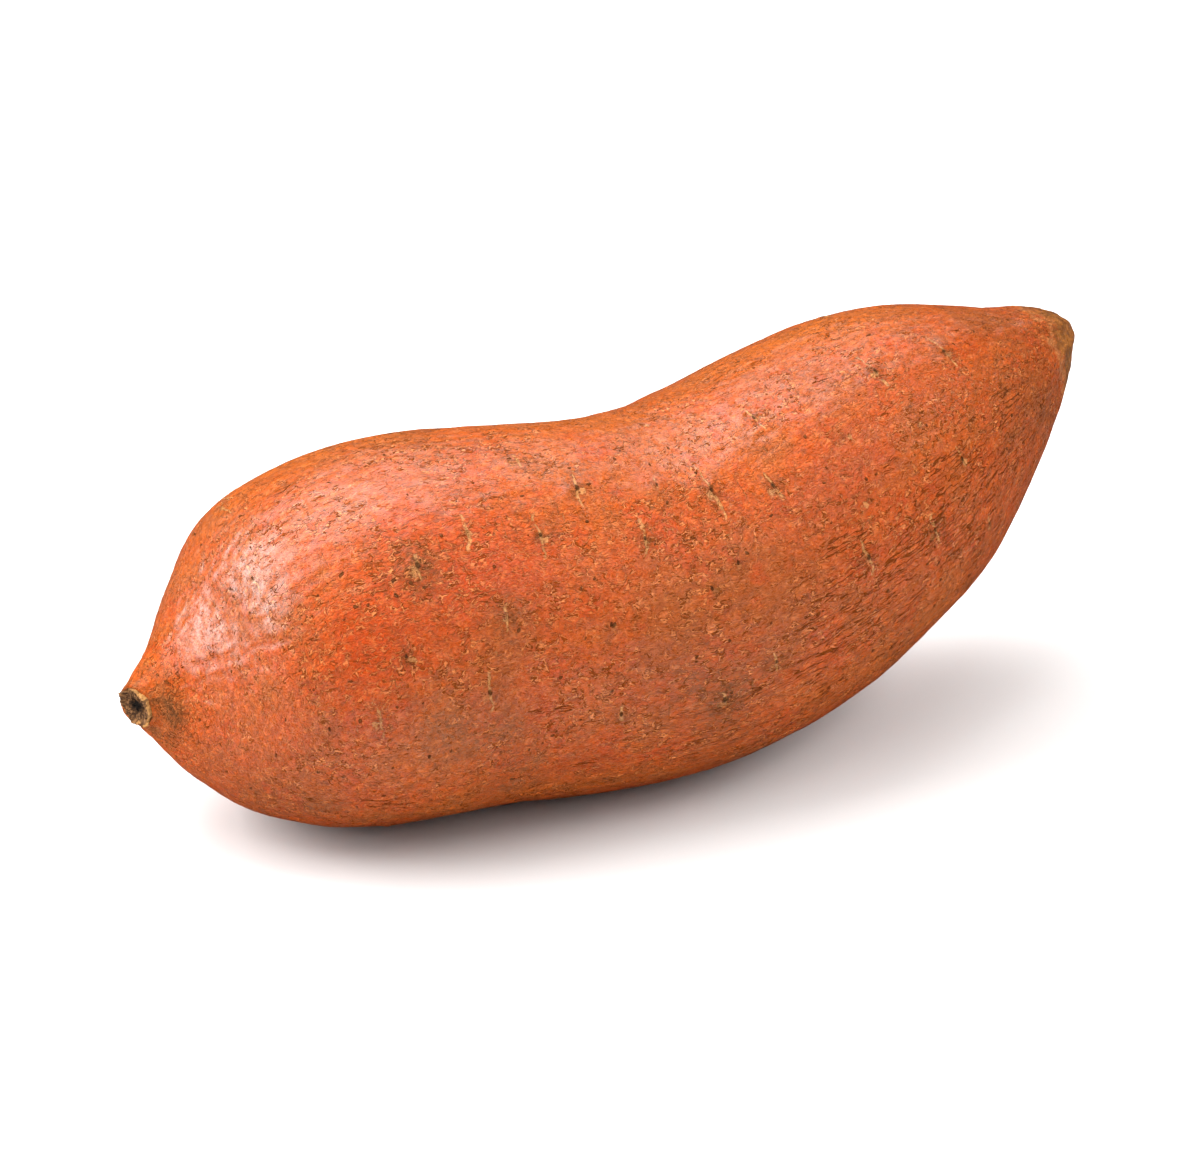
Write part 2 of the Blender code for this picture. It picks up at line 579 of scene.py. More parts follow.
@dataclass
class ShellMesh:
    """A closed surface of rings between two poles, ready to be made an object.

    Attributes:
        name: The piece's name.
        rings: Points in metres, rows by columns by 3.
        start: The pole before the first ring.
        end: The pole after the last ring.
        marks: Named values for each ring point, rows by columns, or by 3 for vectors. A pole
            takes the average of the ring next to it.
    """

    name: str
    rings: Array
    start: Array
    end: Array
    marks: dict[str, Array] = field(default_factory=dict)

    def build(self, map_name: str | None = None) -> bpy.types.Object:
        """Makes the object, with its named values, and lays it out flat if a map is named.

        Args:
            map_name: Name for the map, or None for no map.

        Returns:
            The new object, linked to the scene.
        """
        rows, columns = self.rings.shape[:2]
        points = np.concatenate([self.rings.reshape(-1, 3), [self.start], [self.end]])
        quads, *fans = shell_faces(rows, columns)
        mesh = bpy.data.meshes.new(self.name)
        mesh.from_pydata(points, [], [face for part in (quads, *fans) for face in part.tolist()])
        mesh.validate()
        for key, values in self.marks.items():
            self._store(mesh, key, values)
        if map_name:
            self._lay_out(mesh, map_name, rows, columns, quads)
        mesh.shade_smooth()
        return linked(self.name, mesh)

    def _store(self, mesh: bpy.types.Mesh, key: str, values: Array) -> None:
        """Stores one named value per vertex.

        Args:
            mesh: The mesh that it is stored on.
            key: The value's name.
            values: The value at each ring point.
        """
        vector = values.ndim == 3
        width = 3 if vector else 1
        rows = values.reshape(values.shape[0], -1, width)
        ends = [rows[0].mean(axis=0)[None], rows[-1].mean(axis=0)[None]]
        flat = np.concatenate([rows.reshape(-1, width), *ends]).astype(np.float32)
        kind, slot = ("FLOAT_VECTOR", "vector") if vector else ("FLOAT", "value")
        layer = mesh.attributes.new(key, kind, "POINT")
        layer.data.foreach_set(slot, flat.ravel())

    def _lay_out(
        self, mesh: bpy.types.Mesh, name: str, rows: int, columns: int, quads: Faces
    ) -> None:
        """Lays the rings out flat: along the piece is u, round it is v, both from 0 to 1.

        Args:
            mesh: The mesh.
            name: The map's name.
            rows: Rings in the grid.
            columns: Vertices round each ring.
            quads: The grid's faces.
        """
        row, column = np.divmod(quads, columns)
        column = np.where((column == 0) & (quads[:, :1] % columns != 0), columns, column)
        now = np.arange(columns)
        first = np.stack([now + 0.5, now + 1, now], axis=1)
        last = np.stack([now + 0.5, now, now + 1], axis=1)
        us = [row.ravel() + 1, np.tile((0, 1, 1), columns), rows + np.tile((1, 0, 0), columns)]
        vs = [column.ravel(), first.ravel(), last.ravel()]
        spread = np.stack([np.concatenate(us) / (rows + 1), np.concatenate(vs) / columns], axis=1)
        layer = mesh.uv_layers.new(name=name)
        layer.data.foreach_set("uv", spread.astype(np.float32).ravel())


def place(piece: bpy.types.Object, material: bpy.types.Material) -> None:
    """Dresses a finished piece, ties it to the root's body, and hides the imported solid.

    Args:
        piece: The piece.
        material: What it is dressed in.
    """
    piece.data.materials.append(material)
    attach(piece, BODY)
    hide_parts(NODE)


# ---------------------------------------------------------------- node wiring


class Bench:
    """Adds nodes to a tree and wires them up."""

    def __init__(self, tree: bpy.types.NodeTree) -> None:
        """Takes the tree that the nodes go into."""
        self.tree = tree

    def add(
        self, kind: str, values: dict[object, object] | None = None, **settings: object
    ) -> bpy.types.Node:
        """Adds a node.

        Args:
            kind: The node's type.
            values: What its inputs get, by their names or places.
            **settings: Values for its properties.

        Returns:
            The node.
        """
        node = self.tree.nodes.new(kind)
        for key, value in settings.items():
            setattr(node, key, value)
        self.feed(node.inputs, values or {})
        return node

    def feed(self, inputs: Sockets, values: dict[object, object]) -> None:
        """Links outputs to the inputs, and sets plain values on them.

        Args:
            inputs: A node's inputs.
            values: What they get, by their names or places.
        """
        for key, value in values.items():
            if isinstance(value, Socket):
                self.tree.links.new(value, inputs[key])
            else:
                inputs[key].default_value = value

    def group(self, tree: bpy.types.NodeTree, **values: object) -> Sockets:
        """Places a node group, and gives its outputs."""
        return self.add("ShaderNodeGroup", values, node_tree=tree).outputs

    def attribute(self, name: str, output: str = "Vector") -> Socket:
        """Reads one of the piece's named values."""
        return self.add("ShaderNodeAttribute", attribute_name=name).outputs[output]

    def math(self, operation: str, a: object, b: object = 0.0, c: object = 0.0) -> Socket:
        """A sum on one or more values."""
        return self.add("ShaderNodeMath", {0: a, 1: b, 2: c}, operation=operation).outputs[0]

    def times(self, *values: object) -> Socket:
        """Multiplies values together."""
        return reduce(lambda a, b: self.math("MULTIPLY", a, b), values)

    def plus(self, base: object, *parts: tuple[object, float]) -> Socket:
        """Adds parts to a base, each a value and how many times it is added."""
        return reduce(lambda total, part: self.math("MULTIPLY_ADD", *part, total), parts, base)

    def vector(self, operation: str, a: object, b: object = (0, 0, 0)) -> Socket:
        """A sum on one or two vectors."""
        return self.add("ShaderNodeVectorMath", {0: a, 1: b}, operation=operation).outputs[0]

    def stretch(self, at: Socket, scale: tuple[float, float, float]) -> Socket:
        """Multiplies a vector's parts."""
        return self.vector("MULTIPLY", at, scale)

    def length(self, at: Socket) -> Socket:
        """A vector's length."""
        return self.add("ShaderNodeVectorMath", {0: at}, operation="LENGTH").outputs["Value"]

    def split(self, at: Socket) -> list[Socket]:
        """A vector's three parts."""
        return list(self.add("ShaderNodeSeparateXYZ", {0: at}).outputs)

    def noise(
        self,
        at: Socket,
        size_mm: float,
        detail: float = 2.0,
        rough: float = 0.5,
        along: float = 1.0,
        output: str = "Fac",
    ) -> Socket:
        """A noise pattern.

        Args:
            at: Coordinates in mm.
            size_mm: How wide its hills are.
            detail: How many finer layers it has.
            rough: How strong each layer is next to the one before it.
            along: Factor on the first coordinate: below 1, the hills are longer along the root.
            output: "Fac" for one value, "Color" for three.

        Returns:
            The pattern, from 0 to 1.
        """
        if along != 1.0:
            at = self.stretch(at, (along, 1.0, 1.0))
        values = {"Vector": at, "Scale": 1.0 / size_mm, "Detail": detail, "Roughness": rough}
        return self.add("ShaderNodeTexNoise", values, noise_dimensions="3D").outputs[output]

    def ramp(
        self, value: object, low: float, high: float, to_low: float = 0.0, to_high: float = 1.0
    ) -> Socket:
        """Eases between two levels by 3t^2 - 2t^3.

        Args:
            value: What to ease.
            low: Where the result is to_low.
            high: Where it is to_high; it may lie below low.
            to_low: The first level.
            to_high: The second level.

        Returns:
            The eased value.
        """
        ends = (low, high, to_low, to_high) if low < high else (high, low, to_high, to_low)
        keys = ("Value", "From Min", "From Max", "To Min", "To Max")
        values = dict(zip(keys, (value, *ends)))
        node = self.add("ShaderNodeMapRange", values, interpolation_type="SMOOTHSTEP")
        return node.outputs[0]

    def blend(self, share: object, a: object, b: object) -> Socket:
        """Mixes colour b over colour a."""
        a, b = ((*tint, 1.0) if isinstance(tint, tuple) else tint for tint in (a, b))
        return self.add("ShaderNodeMix", {0: share, 6: a, 7: b}, data_type="RGBA").outputs[2]

    def paint(self, colour: object, *coats: tuple[object, object]) -> Socket:
        """Lays coats over a colour, each a share and a tint."""
        return reduce(lambda under, coat: self.blend(coat[0], under, coat[1]), coats, colour)

    def speck(self, colour: object, *coats: tuple[Socket, float, float, float, Colour]) -> Socket:
        """Lays coats over a colour: pattern, its low and high level, greatest share and tint."""
        ramps = ((self.ramp(at, low, high, 0.0, top), tint) for at, low, high, top, tint in coats)
        return self.paint(colour, *ramps)

    def stamp(self, colour: object, masks: Sockets, *coats: tuple[str, float, Colour]) -> Socket:
        """Lays coats over a colour, each a mask's name, a share of it and a tint."""
        return self.paint(colour, *((self.times(masks[k], top), tint) for k, top, tint in coats))

    def bump(self, height: Socket, reach: float) -> Socket:
        """Turns heights from 0 to 1 into a relief that is reach metres high."""
        values = {"Height": height, "Strength": 1.0, "Distance": reach}
        return self.add("ShaderNodeBump", values).outputs["Normal"]


def new_material(name: str) -> tuple[bpy.types.Material, Bench, Sockets]:
    """Starts a material.

    Args:
        name: The material's name.

    Returns:
        The material, a bench for its nodes, and its shader's inputs.
    """
    material = bpy.data.materials.new(name)
    material.use_nodes = True
    tree = material.node_tree
    return material, Bench(tree), tree.nodes["Principled BSDF"].inputs


def new_group(
    name: str, inputs: dict[str, str], outputs: tuple[str, ...]
) -> tuple[bpy.types.NodeTree, Bench, Sockets, Sockets]:
    """Starts a shader node group.

    Args:
        name: The group's name.
        inputs: Socket kind by input name.
        outputs: Names of its outputs, each a number.

    Returns:
        The group, a bench for it, what it is given, and what it puts out.
    """
    tree = bpy.data.node_groups.new(name, "ShaderNodeTree")
    for key, kind in inputs.items():
        tree.interface.new_socket(key, in_out="INPUT", socket_type=kind)
    for key in outputs:
        tree.interface.new_socket(key, in_out="OUTPUT", socket_type=NUMBER)
    bench = Bench(tree)
    given, out = bench.add("NodeGroupInput"), bench.add("NodeGroupOutput")
    return tree, bench, given.outputs, out.inputs


def crinkle_group() -> bpy.types.NodeTree:
    """Fine crinkles and lips that run along the root.

    Noise is stretched along the root and pushed about by a second noise, for soft worm-like
    swellings. Where a third noise crosses its middle level a narrow lip stands up, with a gap
    along one side of it, both broken into short pieces by a fourth and crowded by a fifth.
    Finer noise roughens the skin between them, a longer pattern cuts the cracks where its
    middle level is crossed, and a cell pattern the tiny pits.

    Returns:
        The group, with inputs Grain and Cracked and outputs Height, Lip, Gap, Fine, Crack and
        Pit.
    """
    tree, bench, given, out = new_group(
        "Crinkled skin", {"Grain": VECTOR, "Cracked": NUMBER}, ("Height", *CRINKLE_RISE)
    )
    grain = given["Grain"]
    push = bench.vector("SUBTRACT", bench.noise(grain, 1.7, 1.0, output="Color"), (0.5,) * 3)
    at = bench.vector("ADD", grain, bench.stretch(push, (1.5, 1.3, 1.3)))
    straighter = bench.vector("ADD", grain, bench.stretch(push, (1.5, 0.6, 0.6)))
    worm = bench.noise(at, 0.70, 2.0, 0.62, along=0.5)
    fold = bench.math("MULTIPLY_ADD", bench.noise(at, 0.85, 2.0, 0.6, along=0.5), 2.0, -1.0)
    crowd = bench.ramp(bench.noise(grain, 9.0), 0.40, 0.60, 0.3, 1.0)
    pieces = bench.times(bench.ramp(bench.noise(at, 1.1), 0.46, 0.55), crowd)
    line = bench.math("SUBTRACT", bench.noise(straighter, 0.9, 1.0, 0.4, along=0.14), 0.5)
    line = bench.math("ABSOLUTE", line)
    torn = bench.plus(bench.noise(grain, 3.5, 1.0, along=0.5), (given["Cracked"], 0.34))
    cells = bench.add("ShaderNodeTexVoronoi", {"Vector": at, "Scale": 1.0 / PIT_APART_MM}).outputs
    chosen = bench.split(cells["Color"])[0]
    hole = bench.times(bench.ramp(chosen, 0.55, 1.0), PIT_REACH)
    parts = {
        "Lip": bench.times(bench.ramp(bench.math("ABSOLUTE", fold), 0.11, 0.02), pieces),
        "Gap": bench.times(bench.ramp(fold, 0.06, 0.12), bench.ramp(fold, 0.28, 0.17), pieces),
        "Fine": bench.noise(at, 0.26, 2.0, 0.65, along=0.45),
        "Crack": bench.times(bench.ramp(line, 0.030, 0.008), bench.ramp(torn, 0.66, 0.76)),
        "Pit": bench.ramp(bench.math("SUBTRACT", cells["Distance"], hole), 0.04, -0.03),
    }
    rises = ((parts[key], rise) for key, rise in CRINKLE_RISE.items())
    height = bench.plus(bench.times(worm, WORM_RISE), *rises)
    bench.feed(out, {"Height": height, **parts})
    return tree


def eye_group() -> bpy.types.NodeTree:
    """The look of an eye in its own coordinates, in mm along and round the root.

    The distance from its middle is roughened by noise. The hole lies within a quarter of its
    size, a nub of pale cork beside it, and the stain reaches out to the halo. The thread is
    the line where the place along is zero, as far round as half its length, in broken beads.

    Returns:
        The group, with inputs Grain, Place, Scar and Kind, and outputs Hole, Cork, Stain and
        Thread.
    """
    inputs = dict.fromkeys(("Grain", "Place", "Scar", "Kind"), VECTOR)
    outputs = ("Hole", "Cork", "Stain", "Thread")
    tree, bench, given, out = new_group("Root eye", inputs, outputs)
    grain, place = given["Grain"], given["Place"]
    along, around, lot = bench.split(place)
    size, thread_length, halo = bench.split(given["Scar"])
    hole_share, cork_share, stain_share = bench.split(given["Kind"])
    rough = bench.math("SUBTRACT", bench.noise(grain, 0.7, 2.0, 0.6), 0.5)
    far = bench.plus(bench.length(bench.stretch(place, (1.3, 0.8, 0.0))), (rough, 1.1))
    far = bench.math("DIVIDE", far, size)
    nub = {0: bench.plus(along, (lot, 0.9)), 1: bench.plus(around, (size, 0.55))}
    beside = bench.length(bench.add("ShaderNodeCombineXYZ", nub).outputs[0])
    beside = bench.math("DIVIDE", bench.plus(beside, (rough, 2.2)), size)
    reach = bench.length(bench.stretch(place, (1.0, 0.8, 0.0)))
    reach = bench.math("DIVIDE", reach, halo)
    speckle = bench.ramp(bench.noise(grain, 0.7, 3.0, 0.7), 0.38, 0.62, 0.15)
    length = bench.math("DIVIDE", bench.math("ABSOLUTE", around), thread_length)
    beads = bench.ramp(bench.noise(grain, 0.9, 2.0, 0.6), 0.38, 0.50)
    thread = bench.ramp(bench.math("ABSOLUTE", along), 0.30, 0.12)
    masks = (
        bench.times(bench.ramp(far, 0.36, 0.12), hole_share),
        bench.times(bench.ramp(beside, 0.50, 0.30), cork_share),
        bench.times(bench.ramp(reach, 1.1, 0.0), stain_share, speckle),
        bench.times(thread, bench.ramp(length, 0.52, 0.40), beads),
    )
    bench.feed(out, dict(zip(outputs, masks)))
    return tree


# ---------------------------------------------------------------- finishes


@dataclass(frozen=True)
class SkinFinish:
    """Dry terracotta skin with a soft waxy sheen.

    Its pale flake colour is partly the colour of dry flakes and of paler mottle, and partly a
    painted highlight on its crests and lips; its shade colour is painted shade in its hollows
    and in the gaps beside the lips, and also darkens its cracks and darker mottle. Dust is the
    colour of soil and the neck, bark of stains and pits, cork of threads and nubs, and olive
    and gold of the tail's cap. Roughness and wax are ranges, and relief_mm is the fine relief's
    height.
    """

    body: Colour = (0.415, 0.059, 0.002)
    red: Colour = (0.415, 0.040, 0.001)
    amber: Colour = (0.440, 0.097, 0.005)
    dull: Colour = (0.305, 0.063, 0.007)
    flake_and_highlight: Colour = (0.710, 0.205, 0.050)
    shade: Colour = (0.155, 0.034, 0.003)
    dust: Colour = (0.205, 0.070, 0.019)
    bark: Colour = (0.095, 0.034, 0.009)
    cork: Colour = (0.520, 0.225, 0.070)
    olive: Colour = (0.150, 0.058, 0.012)
    gold: Colour = (0.370, 0.140, 0.028)
    hole: Colour = (0.050, 0.017, 0.004)
    roughness: tuple[float, float] = (0.28, 0.50)
    specular: float = 0.06
    wax: tuple[float, float] = (0.4, 1.0)
    wax_index: float = 1.57
    wax_roughness: float = 0.36
    relief_mm: float = 1.7

    def material(self) -> bpy.types.Material:
        """Builds the skin's material: its colour, then its sheen, then its fine relief.

        Returns:
            The material.
        """
        material, bench, shader = new_material("root skin")
        grain = bench.attribute("grain")
        tones = bench.split(bench.attribute("tones"))
        cracked = bench.attribute("cracked", "Fac")
        crinkle = bench.group(crinkle_group(), Grain=grain, Cracked=cracked)
        place, scar, kind = (bench.attribute(key) for key in ("eye_place", "eye_scar", "eye_kind"))
        eye = bench.group(eye_group(), Grain=grain, Place=place, Scar=scar, Kind=kind)
        colour = self.flesh(bench, grain, tones, crinkle)
        colour = self.ends(bench, grain, colour)
        scars = (("Stain", 0.95, self.bark), ("Thread", 0.8, self.cork))
        scars += (("Cork", 0.65, self.cork), ("Hole", 0.9, self.hole))
        matt = bench.ramp(bench.noise(grain, 1.3, 3.0, 0.65), 0.35, 0.68, *self.roughness)
        waxy = bench.ramp(bench.noise(grain, 1.6, 4.0, 0.75), 0.36, 0.60, *self.wax)
        crests = bench.ramp(crinkle["Height"], 0.18, 0.30)
        clear = (
            bench.ramp(bench.attribute("to_stem", "Fac"), 4.0, 14.0, 0.1, 1.0),
            bench.ramp(eye["Hole"], 0.0, 0.8, 1.0, 0.0),
            bench.ramp(eye["Stain"], 0.0, 0.8, 1.0, 0.2),
        )
        rises = ((eye[key], rise) for key, rise in EYE_RISE.items())
        relief = bench.plus(crinkle["Height"], *rises)
        values = {
            "Base Color": bench.stamp(colour, eye, *scars),
            "Roughness": bench.plus(matt, (tones[0], 0.2)),
            "Specular IOR Level": self.specular,
            "Coat Weight": bench.times(waxy, crests, bench.times(*clear)),
            "Coat IOR": self.wax_index,
            "Coat Roughness": self.wax_roughness,
            "Normal": bench.bump(relief, self.relief_mm * MM),
        }
        bench.feed(shader, values)
        return material

    def flesh(self, bench: Bench, grain: Socket, tones: list[Socket], crinkle: Sockets) -> Socket:
        """The skin's colour away from its ends and scars.

        Red and amber patches over the body colour, the amber along the underside being painted
        bounce light, paler and darker mottle, a painted highlight on crests and lips and painted
        shade in hollows and beside the lips, darker cracks and pits, and speckled dust on top.

        Args:
            bench: Where the nodes go.
            grain: Grain coordinates.
            tones: How dusty, red and amber the skin is there.
            crinkle: What the crinkle group puts out.

        Returns:
            The colour.
        """
        dusty, red, amber = tones
        broad = bench.noise(grain, 22.0, 3.0, 0.6)
        small = bench.noise(grain, 5.5, 3.0, 0.6)
        mottle = bench.noise(grain, 1.7, 3.0, 0.65)
        height, fine = crinkle["Height"], crinkle["Fine"]
        colour = bench.speck(
            self.body,
            (broad, 0.47, 0.66, 0.40, self.amber),
            (broad, 0.47, 0.34, 0.80, self.dull),
            (small, 0.50, 0.68, 0.65, self.dull),
            (small, 0.46, 0.32, 0.55, self.red),
        )
        colour = bench.paint(colour, (red, self.red), (amber, self.amber))
        # The mottle rows are the skin's own paler and darker tone; the height rows paint shade in
        # the hollows and a highlight on the crests of the relief, and the fine rows do the same for
        # the finer relief.
        colour = bench.speck(
            colour,
            (mottle, 0.52, 0.72, 0.30, self.flake_and_highlight),
            (mottle, 0.46, 0.32, 0.45, self.shade),
            (height, 0.26, 0.18, 0.45, self.shade),
            (height, 0.33, 0.46, 0.25, self.flake_and_highlight),
            (fine, 0.47, 0.35, 0.60, self.shade),
            (fine, 0.55, 0.68, 0.30, self.flake_and_highlight),
        )
        speckle = bench.ramp(bench.noise(grain, 0.8, 3.0, 0.75), 0.36, 0.64)
        soil = bench.times(dusty, bench.ramp(speckle, 0.0, 1.0, 0.3, 0.85))
        dark_soil = bench.times(dusty, bench.ramp(speckle, 0.75, 1.0, 0.0, 0.55))
        colour = bench.paint(colour, (soil, self.dust), (dark_soil, self.bark))
        # Lips take the pale flake colour, partly real and partly a painted highlight on their
        # edges; gaps take painted shadow beside the lips; cracks are darkened and pits take the
        # bark colour.
        return bench.stamp(
            colour,
            crinkle,
            ("Lip", 0.80, self.flake_and_highlight),
            ("Gap", 0.60, self.shade),
            ("Crack", 0.85, self.shade),
            ("Pit", 0.80, self.bark),
        )

    def ends(self, bench: Bench, grain: Socket, colour: Socket) -> Socket:
        """Lays the brown neck and the corky tail tip over a colour.

        Args:
            bench: Where the nodes go.
            grain: Grain coordinates.
            colour: What lies under them.

        Returns:
            The colour with both ends on it.
        """
        ragged = bench.math("SUBTRACT", bench.noise(grain, 4.5, 4.0, 0.6), 0.5)
        tail = bench.plus(bench.attribute("to_tail", "Fac"), (ragged, 15.0))
        rim = bench.times(bench.ramp(tail, 14.6, 15.8), bench.ramp(tail, 18.0, 16.3), 0.45)
        cap = bench.ramp(tail, 16.2, 13.4, 0.0, 0.8)
        worn = bench.ramp(bench.noise(grain, 1.9, 4.0, 0.65, along=0.5), 0.36, 0.64)
        worn = bench.blend(worn, self.olive, self.gold)
        stem = bench.plus(bench.attribute("to_stem", "Fac"), (ragged, 7.0))
        streak = bench.ramp(bench.noise(grain, 1.6, 3.0, 0.6, along=0.15), 0.42, 0.62, 0.1, 0.7)
        neck = bench.times(bench.ramp(stem, 7.0, 0.5), streak)
        return bench.paint(colour, (rim, self.cork), (cap, worn), (neck, self.dust))


@dataclass(frozen=True)
class CorkFinish:
    """The dried cut of the stem: pale double rim, dark fibrous face, black pith."""

    rim: Colour = (0.400, 0.190, 0.060)
    face: Colour = (0.066, 0.029, 0.012)
    fibre: Colour = (0.250, 0.115, 0.045)
    pith: Colour = (0.010, 0.006, 0.004)
    roughness: float = 0.8
    specular: float = 0.1
    relief_mm: float = 1.0

    def material(self) -> bpy.types.Material:
        """Builds the cut's material: rings by how far out from its middle, torn by noise.

        Noise on each point's direction from the middle draws the fibres that run outwards.

        Returns:
            The material.
        """
        material, bench, shader = new_material("cut stem cork")
        spot = bench.attribute("cut_place")
        side, _, out = bench.split(spot)
        tear = bench.math("SUBTRACT", bench.noise(spot, 1.1, 3.0, 0.65), 0.5)
        far = bench.plus(out, (tear, 1.0))
        ray = bench.vector("NORMALIZE", bench.stretch(spot, (1.0, 1.0, 0.0)))
        ray = bench.stretch(ray, (1.8, 1.8, 0.0))
        ray = bench.vector("ADD", ray, bench.stretch(spot, (0.55,) * 3))
        fibre = bench.noise(ray, 0.42, 3.0, 0.7)
        lit_side = bench.ramp(side, -2.5, 2.0, 0.15, 1.0)
        groove = bench.times(bench.ramp(far, 0.86, 0.90), bench.ramp(far, 0.96, 0.92), 0.6)
        colour = bench.paint(
            self.face,
            (bench.ramp(fibre, 0.46, 0.62), self.fibre),
            (bench.ramp(far, 0.62, 0.20), self.pith),
            (bench.ramp(fibre, 0.46, 0.34, 0.0, 0.85), self.pith),
            (bench.times(bench.ramp(far, 0.82, 0.93), lit_side), self.rim),
            (groove, self.face),
        )
        values = {
            "Base Color": colour,
            "Roughness": self.roughness,
            "Specular IOR Level": self.specular,
            "Normal": bench.bump(bench.times(fibre, 0.6), self.relief_mm * MM),
        }
        bench.feed(shader, values)
        return material


# ---------------------------------------------------------------- pieces


@dataclass
class RootSkin:
    """The root's whole skin, one closed surface with its relief in the mesh.

    Attributes:
        form: The smooth form under it.
        eyes: Its eyes.
        rings: How many rings there are along it.
        columns: How many points there are round each.
        lump_mm: Height of the broad, shallow lumps.
        crease_mm: Height of the wrinkles that run along the root.
        ripple_mm: Height of the broader wrinkles under them.
        collar_mm: Height of the collar next to the cut.
        neck_mm: Depth of the groove behind it.
        flutes: How many flutes there are round each end.
        flute_mm: Their depth.
        dent: Depth of an eye's dent, as a share of its size.
        nub: Height of the cork beside it, as a share of its size.
        thread_mm: Height of a thread.
        furrow_mm: Depth of the furrows on both sides of it.
        fold_mm: Depth of the broad fold that it lies in.
        cap_shift_mm: How far the tail's corky cap reaches down rather than up.
        span: The rings.
        walked: Distance walked over the skin to each of them, in mm.
        turn: Angles of the points round them.
        at: Grain coordinates of the points, for patterns that follow the skin.
    """

    form: RootForm
    eyes: EyeField
    rings: int = 304
    columns: int = 324
    lump_mm: float = 0.42
    crease_mm: float = 0.14
    ripple_mm: float = 0.10
    collar_mm: float = 0.30
    neck_mm: float = 0.35
    flutes: int = 9
    flute_mm: float = 0.22
    dent: float = 0.22
    nub: float = 0.10
    thread_mm: float = 0.10
    furrow_mm: float = 0.08
    fold_mm: float = 0.09
    cap_shift_mm: float = 2.4
    span: RingSpan = field(init=False)
    walked: Array = field(init=False)
    turn: Array = field(init=False)
    at: Array = field(init=False)

    def __post_init__(self) -> None:
        """Works out the rings, the distance walked to each, and the points' coordinates.

        Grain coordinates are the distance walked, then radius * cos(turn) and * sin(turn), in
        mm. Towards the thin ends the radius is raised part of the way to the greatest one, so
        that patterns aren't pinched there.
        """
        self.span = self.form.rings(self.spaced())
        self.walked = self.span.walked()
        self.turn = np.linspace(0.0, 2.0 * math.pi, self.columns, endpoint=False)
        share, radius = self.span.share, self.span.radius
        raised = 0.55 * smooth_step(0.02, 0.2, share) * smooth_step(1.0, 0.86, share)
        wide = (radius + raised * (radius.max() - radius))[:, None]
        along = np.broadcast_to(self.walked[:, None], (self.rings, self.columns))
        self.at = np.stack([along, wide * np.cos(self.turn), wide * np.sin(self.turn)], axis=-1)

    def spaced(self) -> Array:
        """Eased places whose rings lie at even steps along the surface.

        The distance walked is worked out at close steps, and read backwards.

        Returns:
            The places, one for each ring.
        """
        dense = np.linspace(0.0, 1.0, 4001)
        walked = self.form.rings(dense).walked()
        return np.interp(np.linspace(0.0, walked[-1], self.rings + 1)[:-1], walked, dense)

    def walked_to(self, along_mm: float | Array) -> float | Array:
        """The distance walked from the stem cut to a place this far along the root."""
        return np.interp(self.form.eased_at(along_mm), self.spaced(), self.walked)

    def nearest_eyes(self) -> dict[str, Array]:
        """For each point, the nearest eye and where the point lies from it.

        The place is (along, round) in mm, as walked - the eye's walked, and the difference in
        turn times the radius. Along is bent by a slow noise, so that threads wander. Its third
        value is the eye's lot, from -1 to 1, which tells one eye from another.

        Returns:
            The values "place", "scar" and "kind", each rows by columns by 3.
        """
        eyes = self.eyes.all()
        rows = [(e.along_mm, e.turn_deg, e.size_mm, e.thread_mm, e.halo_mm) for e in eyes]
        table = np.array(rows)
        along = self.walked[:, None, None] - self.walked_to(table[:, 0])
        apart = turn_apart(self.turn[None, :, None], np.radians(table[:, 1]))
        around = apart * np.maximum(self.span.radius, 3.0)[:, None, None]
        reach = np.hypot(along, around * np.where(table[:, 3] > 3.0, 0.6, 1.0))
        pick = reach.argmin(axis=2)[..., None]
        near = np.take_along_axis(np.broadcast_to(along, around.shape), pick, 2)[..., 0]
        side = np.take_along_axis(around, pick, 2)[..., 0]
        pick = pick[..., 0]
        wander = 0.9 * hills(self.at, 2.6, 71, 2) * smooth_step(0.3, 1.8, np.abs(side))
        lot = np.sin(np.arange(len(eyes)) * 2.4)[pick]
        size, thread, halo = (table[pick, k] for k in (2, 3, 4))
        return {
            "place": np.stack([near - wander, side, lot], axis=-1),
            "scar": np.stack([size, thread.clip(0.01), halo], axis=-1),
            "kind": np.array([e.mark.value for e in eyes])[pick],
        }

    def relief(self, eyes: dict[str, Array]) -> Array:
        """How far the skin stands off the smooth form, in mm.

        It is the sum of broad lumps, wrinkles stretched along the root, a collar and a groove
        round the neck, flutes that grow towards both ends, and at each eye a dent, a raised lip
        and a thread.

        Args:
            eyes: What nearest_eyes gives.

        Returns:
            Heights, rows by columns.
        """
        at, share, turn = self.at, self.span.share, self.turn
        drift = np.stack([hills(at, 6.0, seed) for seed in (5, 6, 7)], axis=-1)
        bent = at + drift * (2.5, 1.2, 1.2)
        crease = np.abs(hills(bent * (0.30, 1.0, 1.0), 2.3, 31))
        height = self.lump_mm * hills(at * (0.7, 1.0, 1.0), 17.0, 21, 2)
        height += self.crease_mm * (smooth_step(0.0, 0.5, crease) - 0.6)
        height += self.ripple_mm * hills(bent * (0.35, 1.0, 1.0), 4.5, 41, 2)
        neck = self.collar_mm * bell(at[..., 0] - 1.2, 1.0)
        neck -= self.neck_mm * bell(at[..., 0] - 3.6, 1.4)
        height += neck * (0.6 + 0.4 * np.cos(turn - 0.2))
        ends = 0.15 * smooth_step(0.12, 0.0, share) + smooth_step(0.86, 1.0, share)
        ends *= smooth_step(0.0, 0.03, share)
        wave = np.cos(self.flutes * turn[None] + 2.2 * hills(at * 0.5, 5.0, 51))
        height += self.flute_mm * wave * ends[:, None]
        along, around, _ = np.moveaxis(eyes["place"], -1, 0)
